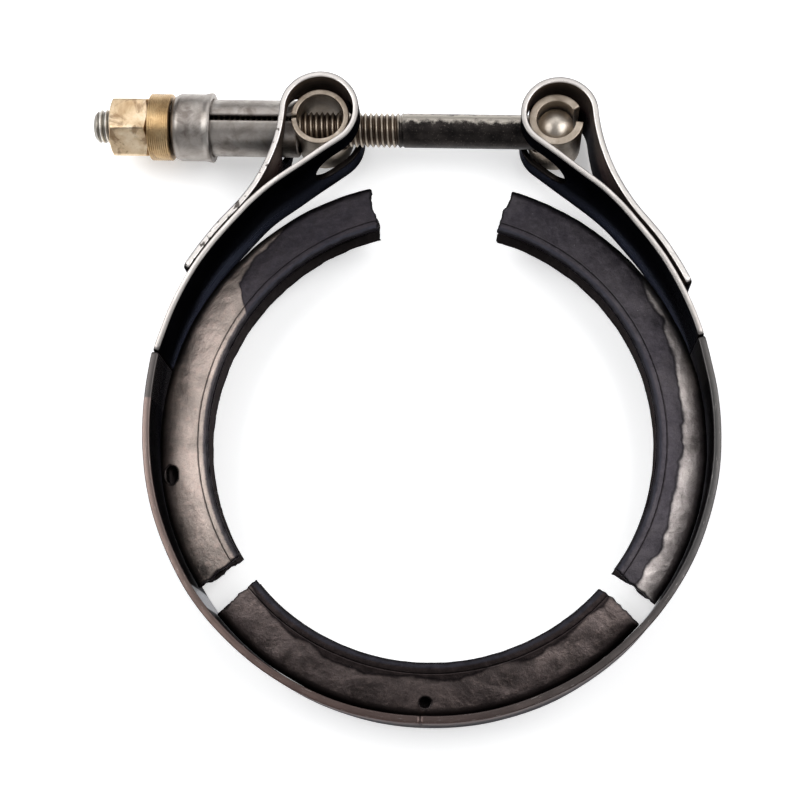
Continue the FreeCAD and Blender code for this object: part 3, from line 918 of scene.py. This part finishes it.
def v_steel(name, flank, web_tone, oxide_tone, oxide_width, length, lit_tone, seed):
    """V segment: heat-tinted flanks whose tones also carry painted light, with lit patches as painted
    highlights, a wavy oxide patch growing from the lip with blisters in it, a crease line painted dark as
    painted shade, painted shade towards the web, the inside of the groove painted near black as painted
    shade, and a worn lip edge.  oxide_width is a list of (share of length, mm from the lip)."""
    sh = Shader(name)
    lip, w = sh.attribute("lip"), sh.attribute("across")
    offset = sh.add("ShaderNodeVectorMath", {0: sh.mm, 1: (seed * 13.0, 0, 0)}).outputs[0]
    cloud = sh.noise(0.11, 6, 0.6, vector=offset, distortion=0.5)
    fine = sh.noise(0.75, 6, 0.68, vector=offset)
    speck = sh.noise(3.2, 4, 0.7, vector=offset)
    colour = sh.ramp(cloud, flank)
    # Painted highlight: paler lit patches on the flank.
    colour = sh.mix(sh.times(sh.step(fine, 0.46, 0.74), 0.5), colour, lit_tone)
    colour = sh.mix(sh.times(sh.step(speck, 0.50, 0.72), 0.45), colour, web_tone)
    share = sh.math("DIVIDE", w, length)
    # Painted shade: the flank is darkened towards the web, where it meets the hoop.
    near_web = sh.step(sh.plus(lip, sh.spread(fine, -1.0, 1.0)), 9.3, 11.6)
    colour = sh.mix(sh.times(near_web, 0.9), colour, web_tone)
    widths = sh.ramp(share, [(p, grey((v + 4) / 20.0)) for p, v in oxide_width])
    widths = sh.minus(sh.times(widths, 20.0), 4.0)
    edge = sh.plus(widths, sh.spread(sh.noise(0.16, 3, 0.45, vector=offset), -2.2, 2.2))
    depth = sh.minus(edge, lip)
    amount = sh.step(depth, -0.6, 0.5)
    char = sh.ramp(fine, [(0.35, oxide_tone), (0.75, tuple(1.9 * c for c in oxide_tone))])
    colour = sh.mix(sh.times(amount, 0.93), colour, char)
    line = sh.size_of(sh.minus(depth, 0.35))
    line = sh.opposite(sh.step(line, 0.05, 0.45))
    colour = sh.mix(sh.times(line, 0.55), colour, (0.006, 0.005, 0.006))
    blister = sh.step(sh.noise(1.1, 3, 0.75, vector=offset), 0.70, 0.76)
    flakes = sh.times(sh.times(blister, sh.step(speck, 0.50, 0.58)), amount)
    colour = sh.mix(sh.times(flakes, 0.75), colour, (0.42, 0.42, 0.46))
    # Painted shade: a dark line along the crease.
    crease = sh.size_of(sh.minus(lip, 2.35))
    crease_mask = sh.opposite(sh.step(sh.plus(crease, sh.spread(fine, -0.12, 0.12)), 0.0, 0.28))
    colour = sh.mix(sh.times(crease_mask, 0.5), colour, (0.020, 0.017, 0.017))
    worn = sh.opposite(sh.step(sh.plus(lip, sh.spread(speck, -0.5, 0.3)), 0.75, 1.25))
    colour = sh.mix(sh.times(worn, 0.85), colour, (0.028, 0.028, 0.036))
    cut = sh.opposite(sh.step(sh.plus(sh.attribute("rim"), sh.spread(speck, -0.3, 0.3)), 0.2, 0.6))
    colour = sh.mix(sh.times(cut, 0.85), colour, (0.012, 0.011, 0.012))
    # Painted shade: the side of the sheet inside the groove is painted near black.
    colour = sh.mix(sh.step(sh.attribute("height"), -0.2, 0.3), colour, (0.012, 0.010, 0.010))
    rough = sh.plus(sh.spread(fine, 0.26, 0.46), sh.times(amount, 0.06))
    sh.bsdf.inputs["Specular Tint"].default_value = (0.35, 0.34, 0.36, 1)
    return sh.finish(colour, rough, [
        (cloud, 0.25), (fine, 0.10), (speck, 0.03), (sh.times(crease_mask, -1.0), 0.10),
        (flakes, 0.08)])


def turned_steel(name, tones, rough, ring=6.0, ring_depth=0.01, stain=None):
    """Turned or rolled round part: rings along its axis, tint clouds and handling marks."""
    sh = Shader(name)
    along, across = sh.attribute("along"), sh.attribute("across")
    cloud = sh.noise(0.18, 5, 0.6, distortion=0.5)
    speck = sh.noise(2.0, 5, 0.7)
    rings = sh.noise(1.0, 4, 0.6, vector=sh.combine(sh.times(along, ring), sh.times(across, 0.01)))
    colour = sh.ramp(cloud, tones)
    colour = sh.mix(sh.times(sh.step(speck, 0.5, 0.78), 0.4), colour, tones[0][1])
    if stain:
        blot = sh.noise(stain["scale"], 6, 0.62, distortion=0.6)
        colour = sh.mix(sh.times(sh.step(blot, *stain["range"]), stain["amount"]), colour, stain["tone"])
    shine = sh.plus(sh.spread(speck, rough[0], rough[1]), sh.spread(rings, -0.04, 0.08))
    return sh.finish(colour, shine, [(rings, ring_depth), (speck, 0.012)])


def thread_steel(name):
    """Brown thread roots with worn crests, paler at the tip.  The plain shank is painted near black as a
    painted dark reflection, with a painted highlight line along its upper side."""
    sh = Shader(name)
    x, r, turn = sh.attribute("along"), sh.attribute("height"), sh.attribute("across")
    speck = sh.noise(2.5, 5, 0.72)
    cloud = sh.noise(0.25, 4, 0.6)
    crest = sh.step(sh.plus(r, sh.spread(speck, -0.15, 0.15)), 3.40, 3.92)
    dirt = sh.ramp(cloud, [(0.3, (0.045, 0.030, 0.022)), (0.7, (0.13, 0.095, 0.07))])
    steel = sh.ramp(cloud, [(0.3, (0.30, 0.25, 0.20)), (0.7, (0.52, 0.45, 0.37))])
    threaded = sh.mix(crest, dirt, steel)
    tip = sh.mix(crest, (0.26, 0.24, 0.21), (0.72, 0.69, 0.64))
    threaded = sh.mix(sh.step(x, BOLT_TIP_X + 9.0, BOLT_TIP_X + 4.0), threaded, tip)
    # Painted light: the plain shank is painted near black as a painted dark reflection, with a painted
    # highlight line along its upper side.
    shank = sh.ramp(cloud, [(0.3, (0.010, 0.009, 0.009)), (0.7, (0.035, 0.030, 0.028))])
    off_highlight = sh.size_of(sh.minus(turn, 58.0))
    off_highlight = sh.plus(off_highlight, sh.spread(sh.noise(0.6, 5, 0.75), -34.0, 34.0))
    worn = sh.opposite(sh.step(off_highlight, 8.0, 30.0))
    shank = sh.mix(sh.times(worn, 0.9), shank, (0.46, 0.42, 0.37))
    shank = sh.mix(sh.times(sh.step(speck, 0.58, 0.66), 0.35), shank, (0.20, 0.17, 0.15))
    colour = sh.mix(sh.step(x, THREAD_END_X - 0.8, THREAD_END_X + 0.6), threaded, shank)
    return sh.finish(colour, sh.spread(speck, 0.26, 0.52), [(speck, 0.03)])


# ---------------------------------------------------------------- assembly

def dress(obj, material, slot, body, *nodes):
    obj.data.materials.append(material)
    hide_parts(*nodes)
    if body:
        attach(obj, body)


# Hoop and straps
hoop_left = make_hoop_half("hoop_strip_left", LEFT, True)
hoop_right = make_hoop_half("hoop_strip_right", RIGHT, False)
strap_left = make_strap("strap_loop_left", LEFT, True)
strap_right = make_strap("strap_loop_right", RIGHT, False)

# Painted shade: the hoop's inner face is painted near black, as it lies in deep shadow beside the V segments.
HOOP_INNER_SHADE = [(0.28, (0.022, 0.020, 0.022)), (0.72, (0.050, 0.046, 0.048))]
HOOP_OUTSIDE = [(0.28, (0.20, 0.16, 0.14)), (0.72, (0.42, 0.36, 0.33))]
LOOP_INSIDE = [(0.28, (0.22, 0.175, 0.145)), (0.72, (0.50, 0.42, 0.36))]
# Painted dark reflection: the strap faces are painted near black.
STRAP_FACES = [(0.28, (0.008, 0.008, 0.010)), (0.72, (0.022, 0.023, 0.028))]
# Painted reflection: a paler blue-grey band low on the strap faces.
STRAP_REFLECTION_BAND = {"at": -6.5, "half": 5.5, "amount": 0.9, "tone": (0.125, 0.135, 0.165)}
# Dark tone for the lap where hoop and strap meet: weld discolour and painted shade.
WELD_AND_SHADE_TONE = (0.075, 0.070, 0.068)
HOOP_RIMS = {
    "left": [
        (0, (0.10, 0.072, 0.066)), (30, (0.13, 0.09, 0.08)),
        (70, (0.17, 0.125, 0.11)), (110, (0.21, 0.16, 0.145))],
    "right": [
        (0, (0.10, 0.072, 0.066)), (30, (0.085, 0.07, 0.066)),
        (70, (0.075, 0.071, 0.070)), (115, (0.080, 0.076, 0.074))],
}
WELD_AND_SHADE_SPAN = {"left": (5.4, 14.9), "right": (12.3, 21.0)}     # degrees of the hoop and strap painted dark, for weld discolour and painted shade
SIDES = (("left", LEFT, hoop_left, strap_left), ("right", RIGHT, hoop_right, strap_right))
for where, side, hoop, strap in SIDES:
    low_deg, high_deg = WELD_AND_SHADE_SPAN[where]
    hoop_line, strap_line = hoop_path(side), strap_path(side)
    dark_from = hoop_line.nearest(polar(BAND_R + 1.2, low_deg))
    dark_to = strap_line.nearest(polar(62.3, high_deg))
    hoop_finish = strip_steel(
        f"hoop_steel_{where}", HOOP_INNER_SHADE, HOOP_OUTSIDE, HOOP_RIMS[where],
        [(dark_from, hoop_line.length + 1, WELD_AND_SHADE_TONE)], lit_stretch=(52.0, 58.2), rim_shade=0.35)
    strap_rim = [(0, (0.42, 0.39, 0.37)), (25, (0.62, 0.58, 0.55)), (strap_line.length, (0.74, 0.70, 0.67))]
    strap_finish = strip_steel(
        f"strap_steel_{where}", STRAP_FACES, LOOP_INSIDE, strap_rim, [(-1, dark_to, WELD_AND_SHADE_TONE)], reflection_band=STRAP_REFLECTION_BAND,
        rusty_from=strap_line.length - 42 if where == "left" else None, rim_shade=0.75)
    if where == "left":
        dress(hoop, hoop_finish, "hoop_steel", None, "ring_band_left", "ring_band_bottom")
    else:
        dress(hoop, hoop_finish, "hoop_steel", None, "ring_band_right")
    dress(strap, strap_finish, "strap_steel", f"{where}_arm", f"loop_strap_{where}")
for piece, arm, flex in ((hoop_left, "left_arm", LEFT_FLEX), (hoop_right, "right_arm", RIGHT_FLEX)):
    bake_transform(piece)

# V segments
V_SPANS = {"left": (75.0, -35.1), "bottom": (220.8, 320.0), "right": (-35.9, 74.8)}
# The flank tones are the steel's tint and, as they differ per segment, also painted light: the right segment
# is painted brightest and the bottom one darkest.
V_LOOKS = {
    "left": dict(
        flank=[(0.30, (0.12, 0.105, 0.095)), (0.5, (0.22, 0.185, 0.165)), (0.7, (0.34, 0.28, 0.25))],
        web_tone=(0.08, 0.068, 0.062), oxide_tone=(0.014, 0.013, 0.018), lit_tone=(0.36, 0.27, 0.24),
        oxide_width=[
            (0.0, 14.0), (0.16, 11.5), (0.27, 9.0), (0.34, 7.5), (0.38, 2.0), (0.42, -4.0), (1.0, -4.0)]),
    "bottom": dict(
        flank=[(0.30, (0.060, 0.048, 0.045)), (0.5, (0.115, 0.092, 0.088)), (0.7, (0.19, 0.15, 0.14))],
        web_tone=(0.035, 0.028, 0.026), oxide_tone=(0.016, 0.012, 0.012), lit_tone=(0.22, 0.17, 0.155),
        oxide_width=[(0.0, 2.0), (0.3, 4.2), (0.5, 3.6), (0.8, 3.2), (1.0, 3.0)]),
    "right": dict(
        flank=[(0.30, (0.13, 0.115, 0.11)), (0.5, (0.30, 0.27, 0.26)), (0.7, (0.50, 0.45, 0.43))],
        web_tone=(0.030, 0.027, 0.028), oxide_tone=(0.018, 0.016, 0.021), lit_tone=(0.55, 0.50, 0.48),
        oxide_width=[(0.0, 6.0), (0.25, 5.5), (0.45, 6.5), (0.6, 8.5), (0.75, 11.0), (1.0, 13.5)]),
}
V_HOLES = {
    "left": [flank_hole(56.94, -10.0, 3.0, 4.1, 3)],
    "bottom": [flank_hole(56.5, 270.6, 2.3, 2.4, 4)],
    "right": [],
}
V_BODIES = {"left": "left_arm", "bottom": "lower_arc", "right": "right_arm"}
for number, (where, span) in enumerate(V_SPANS.items()):
    side = where != "bottom"
    segment, span_mm = make_v_segment(
        f"v_section_{where}", span, side, where == "left", V_HOLES[where], 100 + 37 * number)
    finish = v_steel(f"v_steel_{where}", length=span_mm, seed=number + 1.0, **V_LOOKS[where])
    dress(segment, finish, "v_steel", V_BODIES[where], f"v_segment_{where}")

# Barrels
barrel_tones = [(0.3, (0.20, 0.16, 0.125)), (0.55, (0.38, 0.32, 0.26)), (0.75, (0.58, 0.51, 0.44))]
barrel_steel = turned_steel("barrel_steel", barrel_tones, (0.30, 0.48))
left_barrel = tube_sheet(
    "barrel_left", LEFT_BARREL[0], LEFT_BARREL_R, LEFT_BARREL_BORE_R, LEFT_SEAM_DEG, 0.0, CAP_HOLE_R)
right_barrel = tube_sheet(
    "barrel_right", RIGHT_BARREL[0], RIGHT_BARREL_R, RIGHT_BARREL_BORE_R, RIGHT_SEAM_DEG, 180.0,
    RIGHT_BARREL_HOLE_R)
dress(left_barrel, barrel_steel, "barrel_steel", "trunnion", "trunnion_barrel")
dress(right_barrel, barrel_steel, "barrel_steel", "t_bolt", "bolt_barrel")

# Sleeve and cap
sleeve_tones = [(0.3, (0.22, 0.195, 0.175)), (0.55, (0.37, 0.34, 0.315)), (0.75, (0.50, 0.47, 0.44))]
sleeve_steel = turned_steel(
    "sleeve_steel", sleeve_tones, (0.30, 0.46), ring=0.4, ring_depth=0.004,
    stain={"scale": 0.16, "range": (0.50, 0.68), "amount": 0.65, "tone": (0.10, 0.078, 0.066)})
sleeve = make_sleeve()
cap = make_cap()
dress(sleeve, sleeve_steel, "sleeve_steel", "trunnion", "trunnion_sleeve")
dress(cap, sleeve_steel, "sleeve_steel", "trunnion", "end_cap")

# Bolt
bolt = make_thread_bolt()
dress(bolt, thread_steel("thread_steel"), "bolt_steel", "t_bolt", "t_bolt")
head = make_bolt_head()
head_steel = turned_steel(
    "head_steel", [(0.3, (0.30, 0.26, 0.22)), (0.7, (0.56, 0.51, 0.45))], (0.26, 0.42), ring_depth=0.003)
head.data.materials.append(head_steel)
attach(head, "t_bolt")

# Collar and nut
gold_tones = [(0.3, (0.24, 0.145, 0.065)), (0.5, (0.42, 0.28, 0.14)), (0.72, (0.60, 0.44, 0.25))]
collar_plating = turned_steel(
    "collar_plating", gold_tones, (0.26, 0.44), ring=5.0, ring_depth=0.01,
    stain={"scale": 0.25, "range": (0.50, 0.66), "amount": 0.6, "tone": (0.14, 0.085, 0.045)})
cream_tones = [(0.28, (0.40, 0.27, 0.15)), (0.5, (0.66, 0.51, 0.34)), (0.72, (0.86, 0.76, 0.60))]
nut_plating = turned_steel(
    "nut_plating", cream_tones, (0.22, 0.40), ring=0.6, ring_depth=0.004,
    stain={"scale": 0.22, "range": (0.50, 0.62), "amount": 0.72, "tone": (0.20, 0.115, 0.060)})
dress(make_collar(), collar_plating, "collar_plating", "nut_collar", "nut_collar")
dress(make_nut(), nut_plating, "nut_plating", "lock_nut", "lock_nut")


# ---------------------------------------------------------------- studio

LIGHTS = [     # name, azimuth, elevation, distance, size, power
    ("side_left", 165, 50, 0.75, 0.50, 3.4),
    ("side_right", 14, 54, 0.75, 0.50, 3.4),
    ("back_top", 95, 40, 0.80, 0.60, 1.8),
    ("front_low", -90, 30, 0.80, 0.60, 0.8),
]
FLOOR_GAP, FLOOR_GLOW = 0.0003, 0.40
AIR_COLOUR, AIR_STRENGTH = (0.80, 0.82, 0.86, 1), 0.26
CAMERA_PLACE = (14.30, -76.34, 354.8)
CAMERA_LOOK, CAMERA_UP = (-0.05883, 0.23377, -0.97051), (-0.02333, 0.97161, 0.23545)


def make_floor():
    """Pale floor that the clamp lies on."""
    half = 1.6
    corners = [(-half, -half, 0), (half, -half, 0), (half, half, 0), (-half, half, 0)]
    mesh = bpy.data.meshes.new("studio_floor")
    mesh.from_pydata(corners, [], [(0, 1, 2, 3)])
    floor = bpy.data.objects.new("studio_floor", mesh)
    floor.location.z = FLOOR_Z - FLOOR_GAP
    bpy.context.scene.collection.objects.link(floor)
    sh = Shader("floor_paint", metallic=0.0)
    tone = sh.ramp(sh.noise(0.01, 2), [(0.3, (0.90, 0.90, 0.90)), (0.7, (0.92, 0.92, 0.92))])
    sh.tree.links.new(tone, sh.bsdf.inputs["Base Color"])
    sh.bsdf.inputs["Roughness"].default_value = 0.8
    sh.bsdf.inputs["Emission Color"].default_value = (1, 1, 1, 1)
    sh.bsdf.inputs["Emission Strength"].default_value = FLOOR_GLOW
    sh.bsdf.inputs["Specular IOR Level"].default_value = 0.2
    floor.data.materials.append(sh.material)


def area_light(name, azimuth, elevation, distance, size, power):
    """Square soft light aimed at the clamp.  Azimuth is counterclockwise from +X."""
    light = bpy.data.lights.new(name, "AREA")
    light.shape, light.size, light.energy = "SQUARE", size, power
    lamp = bpy.data.objects.new(name, light)
    a, e = radians(azimuth), radians(elevation)
    back = Vector((cos(a) * cos(e), sin(a) * cos(e), sin(e)))
    lamp.location = back * distance
    lamp.rotation_euler = back.to_track_quat("Z", "Y").to_euler()
    bpy.context.scene.collection.objects.link(lamp)


def make_studio():
    make_floor()
    world = bpy.data.worlds.new("studio_air")
    world.use_nodes = True
    air = world.node_tree.nodes["Background"]
    air.inputs[0].default_value, air.inputs[1].default_value = AIR_COLOUR, AIR_STRENGTH
    bpy.context.scene.world = world
    for light in LIGHTS:
        area_light(*light)


def make_camera():
    """Looks down on the clamp, a little from the front."""
    camera = bpy.data.cameras.new("photo_camera")
    camera.lens, camera.sensor_width = 74.5, 36.0
    camera.clip_start, camera.clip_end = 0.01, 10
    eye = bpy.data.objects.new("photo_camera", camera)
    look = Vector(CAMERA_LOOK).normalized()
    right = look.cross(Vector(CAMERA_UP)).normalized()
    up = right.cross(look)
    turn = Matrix((right, up, -look)).transposed().to_4x4()
    eye.matrix_world = Matrix.Translation(Vector(CAMERA_PLACE) * MM) @ turn
    bpy.context.scene.collection.objects.link(eye)
    bpy.context.scene.camera = eye


make_studio()
make_camera()
bpy.context.scene.view_settings.view_transform = "Standard"
